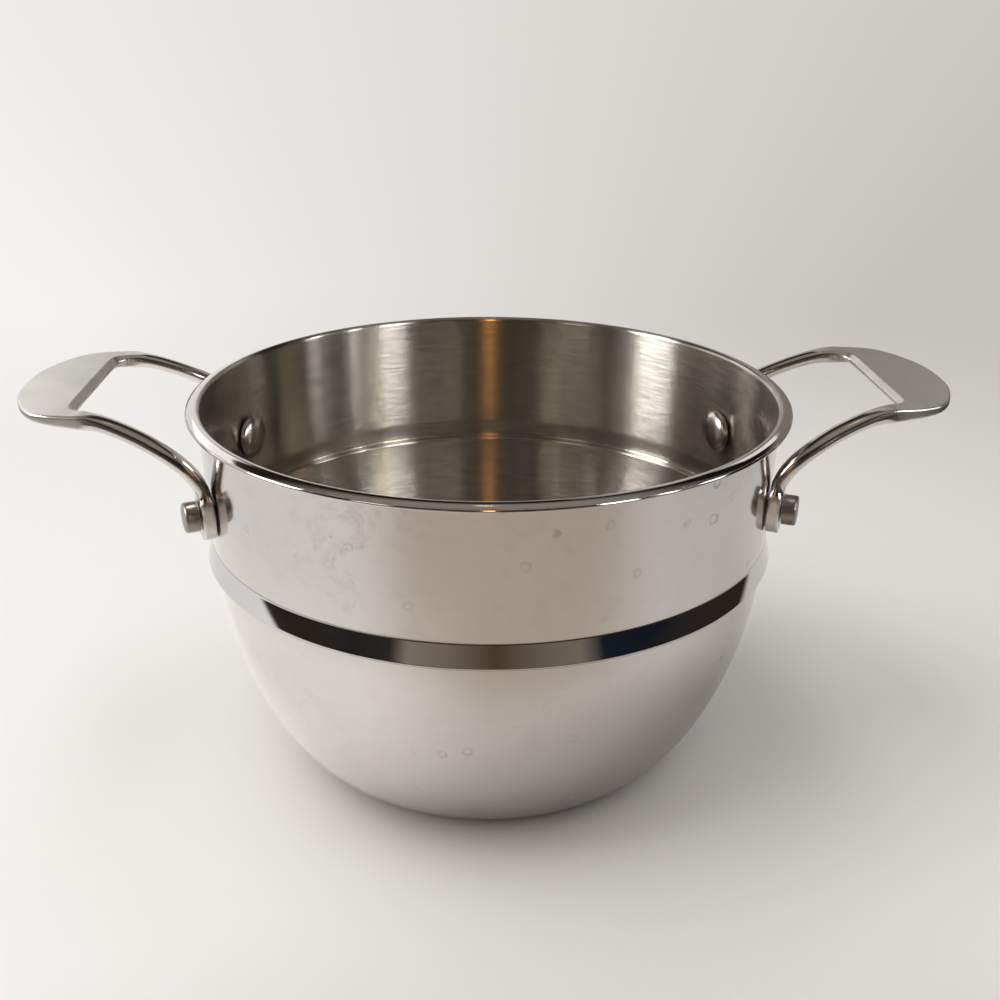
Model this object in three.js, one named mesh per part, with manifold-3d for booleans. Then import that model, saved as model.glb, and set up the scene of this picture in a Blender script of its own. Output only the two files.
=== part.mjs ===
// A stainless steel steamer basket: one drawn sheet shell with a perforated flat base, a rounded bowl,
// a proud shoulder band and a flared lip, and two cast loop handles, each held by two rivets.
// Millimetres, +Z up. The origin is on the basket's axis, in the plane that the base stands on.
// The handles lie along X: the right one on +X and the left one on -X.
import * as THREE from "three";
import { mergeVertices } from "three/addons/utils/BufferGeometryUtils.js";
import Module from "manifold-3d";

// Shell
const sheet = 1.0; // thickness of the drawn steel
const wallRadius = 99.7; // outside of the wall where it meets the band
const bowlHeight = 82.3; // from the base to the fold under the band
const baseRadius = 57.5; // flat part of the base
const bowlRunIn = 1.6; // exponent on the depth: how early the bowl draws in
const bowlRoundness = 1.87; // exponent on the width: how full the bowl's lower curve is
const foldRise = 0.9; // height of the narrow ledge under the band
const bandHeight = 8.1; // sloping band that rests on the rim of a pot
const bandFlare = 1.9; // how far the band's lower edge stands out from the wall
const wallHeight = 44.4; // from the top of the band to the start of the lip
const wallFlare = 1.2; // how far the wall leans out from the band up to the lip
const lipBend = 0.5; // radius under the lip where the wall turns outwards
const lipWidth = 3.9; // from the top of the wall's outside to the lip's outer edge
const lipDroop = 0.34; // slope of the lip's outer part, down and outwards

// Perforations of the base
const holeRadius = 2.5;
const holeRings = 4; // rings round the middle hole, ring k having 6 k holes
const holePitch = 11.5; // from ring to ring

// Rivets
const rivetAngle = THREE.MathUtils.degToRad(22.3); // either side of the handle's axis
const rivetRise = 15.8; // above the top of the band
const shankRadius = 2.6;
const headRadius = 8.0; // domed head inside the wall
const headHeight = 3.6;
const headEdge = 0.6; // upright edge of the domed head
const buttonRadius = 5.1; // outer end
const buttonLength = 4.9;
const buttonRound = 0.8;

// Handles
const footThickness = 4.3; // tab that lies on the wall
const footWidth = 12.0;
const footBelow = 8.5; // from the rivet's axis to the foot's rounded lower end
const footAbove = 7.6; // from the rivet's axis to the foot's top
const legWidth = 7.2;
const legThickness = 4.8;
const legToe = 0.11; // sideways per millimetre outwards, as the legs draw together towards the grip
const legBow = 2.2; // how far each leg bows aside just above its foot
const legBowAt = 8.0; // distance out from the foot at which it does
const legLap = 5.3; // how far a leg runs on inside the grip, past its inner edge
const legThinning = 0.4; // part of its thickness that the leg loses below as it runs into the grip
const gripAboveRim = 4.0; // the grip's flat top above the lip's highest line
const gripInner = 137.0; // from the basket's axis to the grip's straight inner edge
const gripOuter = 160.5; // from the basket's axis to the middle of the grip's curved outer edge
const gripHalfWidth = 37.6;
const gripThickness = 3.2;
const gripRound = 1.2; // rounding of the grip's edges
const gripCorner = 0.1; // part of the grip's depth that its straight sides take up

const fit = 0.3; // clearance between a piece and the next
const roundSegments = 64;

const bandBottom = bowlHeight + foldRise;
const bandTop = bandBottom + bandHeight;
const lipStart = bandTop + wallHeight;
const rimTop = lipStart + lipBend + sheet;
const rivetHeight = bandTop + rivetRise;
const lipRoot = wallRadius + wallFlare; // outside of the wall where the lip starts
const wallAt = (height) => wallRadius + (wallFlare * (height - bandTop)) / wallHeight; // outside of the wall
const backAt = (height) => wallAt(height) + fit; // a foot's face on the wall's side
const frontAt = (height) => backAt(height) + footThickness; // a foot's outer face
const legRadius = frontAt(rivetHeight) - legThickness / 2; // from the axis to the leg's middle at its foot
const legReach = gripInner + legLap - legRadius * Math.cos(rivetAngle); // along X, from foot to end

const wasm = await Module();
wasm.setup();

// A closed geometry as a solid, turned right side out.
function solid(geometry) {
  const plain = geometry.clone();
  plain.deleteAttribute("normal");
  plain.deleteAttribute("uv");
  const merged = mergeVertices(plain, 1e-4);
  const make = (triVerts) =>
    new wasm.Manifold(
      new wasm.Mesh({
        numProp: 3,
        vertProperties: new Float32Array(merged.attributes.position.array),
        triVerts,
      }),
    );
  const triangles = new Uint32Array(merged.index.array);
  const made = make(triangles);
  return made.volume() > 0 ? made : make(triangles.reverse());
}

// A solid as a geometry with flat-shaded faces.
function geometryOf(made) {
  const mesh = made.getMesh();
  const indexed = new THREE.BufferGeometry();
  indexed.setAttribute("position", new THREE.BufferAttribute(mesh.vertProperties, 3));
  indexed.setIndex(new THREE.BufferAttribute(mesh.triVerts, 1));
  const flat = indexed.toNonIndexed();
  flat.computeVertexNormals();
  return flat;
}

// A profile of [radius, height] points turned about Z.
function turned(profile, segments) {
  const points = profile.map(([radius, height]) => new THREE.Vector2(radius, height));
  return new THREE.LatheGeometry(points, segments).rotateX(Math.PI / 2);
}

// A round bar with its axis along X, from one distance to another, at a height.
function radialBar(radius, from, to, height, angle) {
  return new THREE.CylinderGeometry(radius, radius, to - from, 14)
    .rotateZ(Math.PI / 2)
    .translate((from + to) / 2, 0, height)
    .rotateZ(angle);
}

// The same line of points, moved sideways by a distance along its own normals.
function offset(line, distance) {
  return line.map(([radius, height], i) => {
    const [r0, h0] = line[Math.max(i - 1, 0)];
    const [r1, h1] = line[Math.min(i + 1, line.length - 1)];
    const before = new THREE.Vector2(radius - r0, height - h0).normalize();
    const after = new THREE.Vector2(r1 - radius, h1 - height).normalize();
    const along = before.clone().add(after).normalize();
    const miter = Math.max(along.dot(before.lengthSq() > 0 ? before : after), 0.5);
    return [radius - (along.y * distance) / miter, height + (along.x * distance) / miter];
  });
}

// Shell: the outside of the sheet from the base's edge to the lip's edge, then back along the inside.
function shellSolid() {
  const outside = [];
  const bowlSteps = 9;
  const bowlTop = wallRadius - 0.4;
  for (let i = 0; i <= bowlSteps; i++) {
    const depth = Math.sin(((bowlSteps - i) / bowlSteps) * (Math.PI / 2));
    const fullness = Math.pow(1 - Math.pow(depth, bowlRunIn), 1 / bowlRoundness);
    outside.push([baseRadius + (bowlTop - baseRadius) * fullness, bowlHeight * (1 - depth)]);
  }
  outside.push([wallRadius + bandFlare, bandBottom]);
  outside.push([wallRadius, bandTop]);
  const lipSteps = 4;
  const lipTurn = Math.PI / 2 + Math.atan(lipDroop);
  for (let i = 0; i <= lipSteps; i++) {
    const turn = (i / lipSteps) * lipTurn;
    outside.push([
      lipRoot + lipBend * (1 - Math.cos(turn)),
      lipStart + lipBend * Math.sin(turn),
    ]);
  }
  const [bendRadius, bendHeight] = outside[outside.length - 1];
  const edge = lipRoot + lipWidth;
  outside.push([edge, bendHeight - (edge - bendRadius) * lipDroop]);
  const inside = offset(outside, sheet).reverse();
  inside[inside.length - 1][1] = sheet;
  const profile = [[0, 0], ...outside, ...inside, [0, sheet]];
  let shell = solid(turned(profile, roundSegments));

  // Round perforations in rings over the flat base.
  const drill = new THREE.CylinderGeometry(holeRadius, holeRadius, 4 * sheet, 9).rotateX(Math.PI / 2);
  for (let ring = 0; ring <= holeRings; ring++) {
    const count = Math.max(1, 6 * ring);
    for (let i = 0; i < count; i++) {
      const angle = ((i + 0.5 * (ring % 2)) / count) * 2 * Math.PI;
      const x = ring * holePitch * Math.cos(angle);
      const y = ring * holePitch * Math.sin(angle);
      shell = shell.subtract(solid(drill.clone().translate(x, y, sheet / 2)));
    }
  }

  // Four rivet holes through the wall.
  for (const angle of [rivetAngle, -rivetAngle, Math.PI - rivetAngle, Math.PI + rivetAngle]) {
    const bore = radialBar(shankRadius + fit, wallRadius - 10, wallRadius + 10, rivetHeight, angle);
    shell = shell.subtract(solid(bore));
  }
  return shell;
}

// One leg: a bar with a flat top and rounded sides and bottom that leaves the grip level, arches over
// and comes down the wall, bowing aside a little above the foot. Its flat top ends against the wall.
function legSolid(side) {
  const level = rimTop + gripAboveRim - legThickness / 2;
  const footTop = rivetHeight + footAbove;
  const drop = level - footTop;
  const path = new THREE.CatmullRomCurve3(
    [
      [1.0, 1.002],
      [0.79, 0.995],
      [0.58, 0.905],
      [0.385, 0.745],
      [0.21, 0.54],
      [0.09, 0.335],
      [0.023, 0.13],
      [0.0, -0.06],
    ].map(([out, up]) => new THREE.Vector3(out * legReach, 0, footTop + up * drop)),
  );
  const w = legWidth / 2;
  const t = legThickness / 2;
  const section = new THREE.Shape();
  section.moveTo(1.4 - w, t);
  section.lineTo(w - 1.4, t);
  section.quadraticCurveTo(w, t, w, 0.35 * t);
  section.quadraticCurveTo(w, -t, 0.3 * w, -t);
  section.lineTo(-0.3 * w, -t);
  section.quadraticCurveTo(-w, -t, -w, 0.35 * t);
  section.quadraticCurveTo(-w, t, 1.4 - w, t);
  const bar = new THREE.ExtrudeGeometry(section, { steps: 20, curveSegments: 3, extrudePath: path });
  const corners = bar.getAttribute("position");
  for (let i = 0; i < corners.count; i++) {
    const out = Math.max(corners.getX(i), 0);
    const bow = legBow * (out / legBowAt) * Math.exp(1 - out / legBowAt);
    const into = THREE.MathUtils.smoothstep(out, 0.6 * legReach, legReach);
    const below = level + t - corners.getZ(i);
    corners.setY(i, corners.getY(i) + side * (bow - legToe * out));
    corners.setZ(i, level + t - below * (1 - legThinning * into));
  }
  bar.translate(legRadius * Math.cos(rivetAngle), side * legRadius * Math.sin(rivetAngle), 0);
  return solid(bar);
}

// One foot: a tab with a rounded lower end, bent to the wall, standing clear of it by the fit.
function footSolid(side) {
  const half = footWidth / 2;
  const outline = new THREE.Shape();
  outline.moveTo(-half, 0);
  outline.bezierCurveTo(-half, -0.7 * footBelow, -0.6 * half, -footBelow, 0, -footBelow);
  outline.bezierCurveTo(0.6 * half, -footBelow, half, -0.7 * footBelow, half, 0);
  outline.bezierCurveTo(half, 0.7 * footAbove, 0.8 * half, footAbove, 0.4 * half, footAbove);
  outline.lineTo(-0.4 * half, footAbove);
  outline.bezierCurveTo(-0.8 * half, footAbove, -half, 0.7 * footAbove, -half, 0);
  const block = new THREE.ExtrudeGeometry(outline, { depth: 24, bevelEnabled: false, curveSegments: 5 });
  block.rotateX(Math.PI / 2).rotateZ(Math.PI / 2).translate(backAt(rivetHeight) - 12, 0, rivetHeight);
  block.rotateZ(side * rivetAngle);
  const bend = solid(
    turned(
      [
        [backAt(0) - 4, 0],
        [frontAt(0), 0],
        [frontAt(rimTop), rimTop],
        [backAt(rimTop) - 4, rimTop],
        [backAt(0) - 4, 0],
      ],
      2 * roundSegments,
    ),
  );
  return solid(block).intersect(bend);
}

// The grip: a level plate with a straight inner edge and a curved outer edge, all its edges rounded.
function gripSolid() {
  const round = gripRound;
  const inner = gripInner + round;
  const outer = gripOuter - round;
  const half = gripHalfWidth - round;
  const shoulder = inner + (outer - inner) * gripCorner;
  const swing = shoulder + 0.45 * (outer - shoulder);
  const outline = new THREE.Shape();
  outline.moveTo(inner, -half);
  outline.lineTo(shoulder, -half);
  outline.bezierCurveTo(swing, -half, outer, -0.63 * half, outer, 0);
  outline.bezierCurveTo(outer, 0.63 * half, swing, half, shoulder, half);
  outline.lineTo(inner, half);
  outline.closePath();
  const plate = new THREE.ExtrudeGeometry(outline, {
    depth: gripThickness - 2 * round,
    bevelThickness: round,
    bevelSize: round,
    bevelSegments: 2,
    curveSegments: 8,
  });
  plate.translate(0, 0, rimTop + gripAboveRim - gripThickness + round);
  return solid(plate);
}

// A handle on +X: legs, feet and grip in one casting, its back hollowed to clear the wall, with rivet bores.
function handleSolid() {
  let handle = gripSolid();
  for (const side of [1, -1]) {
    handle = handle.add(legSolid(side)).add(footSolid(side));
  }
  const wall = new THREE.CylinderGeometry(backAt(rimTop), backAt(0), rimTop, 2 * roundSegments);
  handle = handle.subtract(solid(wall.rotateX(Math.PI / 2).translate(0, 0, rimTop / 2)));
  for (const side of [1, -1]) {
    const end = frontAt(rivetHeight) + 20;
    const bore = radialBar(shankRadius + fit, wallRadius - 10, end, rivetHeight, side * rivetAngle);
    handle = handle.subtract(solid(bore));
  }
  return handle;
}

// A rivet along +X: domed head inside the wall, shank, and a plain round button outside the foot.
function rivetGeometry() {
  const inside = wallAt(rivetHeight - headRadius) - sheet;
  const seat = Math.sqrt(inside ** 2 - headRadius ** 2) - fit;
  const outer = frontAt(rivetHeight + buttonRadius) + fit;
  const end = outer + buttonLength;
  const profile = [];
  const domeSteps = 4;
  for (let i = 0; i <= domeSteps; i++) {
    const turn = (i / domeSteps) * (Math.PI / 2);
    profile.push([
      headRadius * Math.sin(turn),
      seat - headEdge - (headHeight - headEdge) * Math.cos(turn),
    ]);
  }
  profile.push([headRadius, seat]);
  profile.push([shankRadius, seat]);
  profile.push([shankRadius, outer]);
  profile.push([buttonRadius, outer]);
  profile.push([buttonRadius, end - buttonRound]);
  profile.push([buttonRadius - 0.3 * buttonRound, end - 0.3 * buttonRound]);
  profile.push([buttonRadius - buttonRound, end]);
  profile.push([0, end]);
  const shape = turned(profile, 16).rotateY(Math.PI / 2);
  return geometryOf(solid(shape));
}

const shellSteel = new THREE.MeshStandardMaterial({ color: 0xb9b7b2, metalness: 1, roughness: 0.16 });
const handleSteel = new THREE.MeshStandardMaterial({ color: 0xb5b0a9, metalness: 1, roughness: 0.24 });
const rivetSteel = new THREE.MeshStandardMaterial({ color: 0xa9a49d, metalness: 1, roughness: 0.28 });

function piece(name, geometry, material, turn = 0, height = 0) {
  const mesh = new THREE.Mesh(geometry, material);
  mesh.name = name;
  mesh.rotation.z = turn;
  mesh.position.z = height;
  return mesh;
}

const basket = new THREE.Group();
basket.name = "steamer_basket";
basket.add(piece("basket_shell", geometryOf(shellSolid()), shellSteel));

const handle = geometryOf(handleSolid());
basket.add(piece("right_handle", handle, handleSteel));
basket.add(piece("left_handle", handle, handleSteel, Math.PI));

const rivet = rivetGeometry();
basket.add(piece("right_back_rivet", rivet, rivetSteel, rivetAngle, rivetHeight));
basket.add(piece("right_front_rivet", rivet, rivetSteel, -rivetAngle, rivetHeight));
basket.add(piece("left_back_rivet", rivet, rivetSteel, Math.PI - rivetAngle, rivetHeight));
basket.add(piece("left_front_rivet", rivet, rivetSteel, Math.PI + rivetAngle, rivetHeight));

export default basket;
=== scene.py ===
import bmesh
import bpy
import numpy as np
from mathutils import Matrix


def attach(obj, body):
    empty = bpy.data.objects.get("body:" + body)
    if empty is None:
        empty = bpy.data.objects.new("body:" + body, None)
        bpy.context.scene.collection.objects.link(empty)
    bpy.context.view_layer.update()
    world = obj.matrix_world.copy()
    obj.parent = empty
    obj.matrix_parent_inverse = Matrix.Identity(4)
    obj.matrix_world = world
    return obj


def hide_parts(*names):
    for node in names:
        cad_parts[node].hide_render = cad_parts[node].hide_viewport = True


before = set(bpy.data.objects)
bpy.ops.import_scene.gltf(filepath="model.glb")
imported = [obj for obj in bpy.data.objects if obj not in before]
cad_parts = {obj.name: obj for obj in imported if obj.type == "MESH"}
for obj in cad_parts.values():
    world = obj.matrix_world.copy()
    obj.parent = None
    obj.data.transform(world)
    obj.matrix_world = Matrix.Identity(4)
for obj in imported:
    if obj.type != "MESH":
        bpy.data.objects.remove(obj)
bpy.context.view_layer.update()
scene = bpy.context.scene

# Basket shell
# One sheet of stainless steel, drawn to a bowl, spun to a sharp shoulder band and curled out at the lip.
# The outside is polished, the band to a mirror, and the inside keeps the lines of a brush that turned in it.
mm = 0.001  # sizes are in millimetres, and Blender's unit is the metre
sheet = 1.0
wall_radius = 99.7
bowl_height = 82.3
base_radius = 57.5
bowl_run_in = 1.6
bowl_roundness = 1.87
bowl_steps = 44
fold_step = 0.4
fold_rise = 0.9
band_height = 8.1
band_flare = 1.9
wall_height = 44.4
wall_flare = 1.2
lip_bend = 0.5
lip_width = 3.9
lip_droop = 0.34
lip_drop = 1.25
hole_radius = 2.5
hole_rings = 4
hole_pitch = 11.5
turns = 240
corner_steps = 7
corner_points = corner_steps + 2
band_bottom = bowl_height + fold_rise
band_top = band_bottom + band_height
lip_start = band_top + wall_height
lip_root = wall_radius + wall_flare
polished, mirror, lip, brushed, fold = range(5)  # finishes, in the order of the shell's materials
shell_tint = "#cdc9c6"
lip_tint = "#d2cecb"
band_tint = "#cecdcd"
fold_shade_tint = "#7a7672"
inside_tint = "#bcb6ad"


def rounded(corners, radii):
    """Rounds the corners of a line: each becomes a quadratic curve that leaves one side a radius before the
    corner and joins the next a radius after it. A point on each side, a third of a radius further out, keeps
    the sides flat. The last two axes of corners are the corners and their two coordinates."""
    before = np.roll(corners, 1, axis=-2) - corners
    after = np.roll(corners, -1, axis=-2) - corners
    before = before / np.maximum(np.linalg.norm(before, axis=-1, keepdims=True), 1e-9)
    after = after / np.maximum(np.linalg.norm(after, axis=-1, keepdims=True), 1e-9)
    reach = radii[..., None]
    t = np.linspace(0, 1, corner_steps)[:, None]
    enter = (corners + before * reach)[..., None, :]
    leave = (corners + after * reach)[..., None, :]
    middle = corners[..., None, :]
    curve = (1 - t) ** 2 * enter + 2 * t * (1 - t) * middle + t**2 * leave
    first = (corners + before * reach * 1.35)[..., None, :]
    last = (corners + after * reach * 1.35)[..., None, :]
    line = np.concatenate([first, curve, last], axis=-2)
    return line.reshape(*corners.shape[:-2], -1, 2)


def bowl_line(offset):
    """Half the bowl's section: with the depth under the fold as a share u of the bowl's height, the radius is
    the base's plus the rest times (1 - u^1.6)^(1/1.87). Points crowd towards the base, and the line is moved
    inwards along its own normal by the offset."""
    crowding = 1.9
    z = bowl_height * np.linspace(0, 1, bowl_steps) ** crowding
    u = 1 - z / bowl_height
    top = wall_radius - fold_step
    r = base_radius + (top - base_radius) * (1 - u**bowl_run_in) ** (1 / bowl_roundness)
    line = np.stack([r, z], -1)
    along = np.gradient(line, axis=0)
    along[0] = (1, 0)
    along[-1] = (0, 1)
    along /= np.linalg.norm(along, axis=1, keepdims=True)
    return line + offset * np.stack([-along[:, 1], along[:, 0]], -1)


def lip_arc(radius, begin, end, steps):
    """Points on the lip's bend: a circle about a centre one bend out from the wall, from one angle to
    another, in degrees."""
    angle = np.radians(np.linspace(begin, end, steps))
    centre = np.array([lip_root + lip_bend, lip_start])
    return centre + radius * np.stack([np.cos(angle), np.sin(angle)], -1)


def shell_section():
    """The sheet's section, from the underside of the base out, up, over the lip and back down the inside.
    Returns the points, how far each lies along the sheet from the axis, and each point's finish number."""
    edge = hole_pitch * (hole_rings + 0.5)
    flare = wall_radius + band_flare
    bowl = bowl_line(0)
    outside_folds = np.array([bowl[-2], bowl[-1], [flare, band_bottom], [wall_radius, band_top],
                              [lip_root, lip_start - 0.1]])
    outside = rounded(outside_folds, np.array([0, 0.4, 0.6, 0.7, 0]))[corner_points:-corner_points]
    tilt = 90 - np.degrees(np.arctan(lip_droop))
    under = lip_arc(lip_bend, 180, tilt, 10)
    crest = lip_arc(lip_bend + sheet, 90, 97, 4)
    over = lip_arc(lip_bend + sheet, 97, 180, 14)[1:]
    t = np.linspace(1, 0, 10)
    top_width = lip_root + lip_width - crest[0, 0]
    top = crest[0] + np.stack([top_width * t, -lip_drop * t**2], -1)
    reach = lip_root + lip_width - under[-1, 0]
    edge_below = under[-1] + np.array([reach, -lip_droop * reach])
    tip = np.concatenate([[under[-1], edge_below], top])
    tip = rounded(tip, np.array([0, 0.36, 0.36] + [0.12] * 8 + [0]))[corner_points:-corner_points]
    inner = wall_radius - sheet
    inner_top = lip_root - sheet
    well = bowl_line(sheet)[::-1]
    inside_folds = np.array([[inner_top, lip_start - 0.1], [inner, band_top - 0.1],
                             [flare - 1.17, band_bottom + 0.61], [well[0, 0], bowl_height + 0.68], well[1]])
    inside = rounded(inside_folds, np.array([0, 0.8, 0.6, 0.6, 0]))[corner_points:-corner_points]
    runs = [np.array([[edge, 0.0]]), bowl[:-1], outside, under, tip, crest, over, inside, well[1:],
            np.array([[edge, sheet]])]
    points = np.concatenate(runs)
    kinds = [polished] * 3 + [lip] * 3 + [brushed] * 4
    finish = np.concatenate([np.full(len(run), kind) for run, kind in zip(runs, kinds)])
    on_band = (points[:, 1] > band_bottom - 0.2) & (points[:, 1] < band_top - 0.25) & (finish == polished)
    finish[on_band] = mirror
    # Painted shade: the faces at both folds of the band take the dark fold steel, for the shade in the
    # creases.
    lower_fold = np.abs(points[:, 1] - band_bottom - 0.1) < 0.22
    upper_fold = np.abs(points[:, 1] - band_top + 0.15) < 0.2
    finish[(lower_fold | upper_fold) & (finish < lip)] = fold
    steps = np.linalg.norm(np.diff(points, axis=0), axis=1)
    along = edge + np.concatenate([[0], np.cumsum(steps)])
    back = edge + np.concatenate([np.cumsum(steps[::-1])[::-1], [0]])
    return points, np.where(finish == brushed, back, along), finish


def turned(section, steps):
    """A section of radius and height carried round the axis in equal steps."""
    angle = np.linspace(0, 2 * np.pi, steps, endpoint=False)
    r, z = section[:, :1], section[:, 1:]
    return np.stack([r * np.cos(angle), r * np.sin(angle), z + 0 * angle], -1)


def grid_faces(rows, columns):
    """The four corner numbers of each square of a grid whose last column joins the first."""
    r = np.arange(rows - 1)[:, None] * columns
    c = np.arange(columns)[None, :]
    d = (c + 1) % columns
    return np.stack([r + c, r + d, r + columns + d, r + columns + c], -1).reshape(-1, 4)


def perforated_cells(ring):
    """The cells of one ring of holes: one in the middle, then six times the ring's number of them. Each is a
    piece of a polar grid with a round hole in it. Lines run from the cell's upper edge to the hole, down its
    wall and out below."""
    count = max(6 * ring, 1)
    step = 2 * np.pi / count
    middle_steps = 24
    sides = 6
    outer = 2 * (ring + 1)
    inner = 2 * (ring - 1) if ring > 1 else 4
    low, high = hole_pitch * (ring - 0.5), hole_pitch * (ring + 0.5)
    if ring == 0:
        turn = np.linspace(0, 2 * np.pi, middle_steps, endpoint=False)
        radius = np.full(middle_steps, high)
    else:
        up = np.linspace(-0.5, 0.5, outer, endpoint=False) * step
        down = np.linspace(0.5, -0.5, inner, endpoint=False) * step
        side = np.linspace(0, 1, sides, endpoint=False)
        turn = np.concatenate([up, np.full(sides, step / 2), down, np.full(sides, -step / 2)])
        radius = np.concatenate([np.full(outer, high), high + (low - high) * side, np.full(inner, low),
                                 low + (high - low) * side])
    edge = np.stack([radius * np.cos(turn), radius * np.sin(turn)], -1)
    middle = np.array([ring * hole_pitch, 0.0])
    way = edge - middle
    way /= np.linalg.norm(way, axis=1, keepdims=True)
    wall = np.array([[0.5, 0], [0.25, 0], [0.08, 0.05], [0, 0.2]])
    wall = np.concatenate([wall, wall[::-1] * [1, -1] + [0, sheet]])
    rings = [middle + way * (hole_radius + r) for r, _ in wall]
    flat = np.stack([edge] + rings + [edge], 0)
    height = sheet - np.concatenate([[0], wall[:, 1], [sheet]])
    start = 0.5 if ring % 2 else 0.0
    angle = (np.arange(count) + start) * step
    x = flat[None, ..., 0] * np.cos(angle)[:, None, None] - flat[None, ..., 1] * np.sin(angle)[:, None, None]
    y = flat[None, ..., 0] * np.sin(angle)[:, None, None] + flat[None, ..., 1] * np.cos(angle)[:, None, None]
    z = height[None, :, None] + 0 * x
    return np.stack([x, y, z], -1)


def make_piece(name, points, faces, kinds, materials, along=None):
    """Writes points in millimetres and their faces as one mesh object at the origin, in metres, welds the
    points that fall together and turns all faces outwards. Along is kept as an attribute of the points."""
    mesh = bpy.data.meshes.new(name)
    mesh.from_pydata((points * mm).tolist(), [], faces.tolist())
    for material in materials:
        mesh.materials.append(material)
    mesh.polygons.foreach_set("material_index", kinds.astype(np.int32))
    if along is not None:
        lengths = mesh.attributes.new("along", "FLOAT", "POINT")
        lengths.data.foreach_set("value", (along * mm).astype(np.float32))
    work = bmesh.new()
    work.from_mesh(mesh)
    bmesh.ops.remove_doubles(work, verts=work.verts, dist=2e-6)
    bmesh.ops.recalc_face_normals(work, faces=work.faces)
    work.to_mesh(mesh)
    work.free()
    mesh.polygons.foreach_set("use_smooth", np.ones(len(mesh.polygons), bool))
    made = bpy.data.objects.new(name, mesh)
    scene.collection.objects.link(made)
    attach(made, "root")
    return made


def linear(colour):
    """An sRGB hex colour as linear red, green, blue and full opacity."""
    share = np.array([int(colour[i:i + 2], 16) for i in (1, 3, 5)]) / 255
    light = np.where(share <= 0.04045, share / 12.92, ((share + 0.055) / 1.055) ** 2.4)
    return (*light.tolist(), 1.0)


def add(tree, kind, inputs=None, **settings):
    """Adds a node with its settings; each input, by name or number, is a value or another node's output."""
    made = tree.nodes.new(kind)
    for name, value in settings.items():
        setattr(made, name, value)
    for name, value in (inputs or {}).items():
        if isinstance(value, bpy.types.NodeSocket):
            tree.links.new(value, made.inputs[name])
        else:
            made.inputs[name].default_value = value
    return made


def bare_steel(name):
    """A new metal: its material, its nodes, its shader and each point's place on the piece."""
    steel = bpy.data.materials.new(name)
    steel.use_nodes = True
    tree = steel.node_tree
    shader = tree.nodes["Principled BSDF"]
    shader.inputs["Metallic"].default_value = 1.0
    place = add(tree, "ShaderNodeTexCoord").outputs["Object"]
    return steel, tree, shader, place


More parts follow.
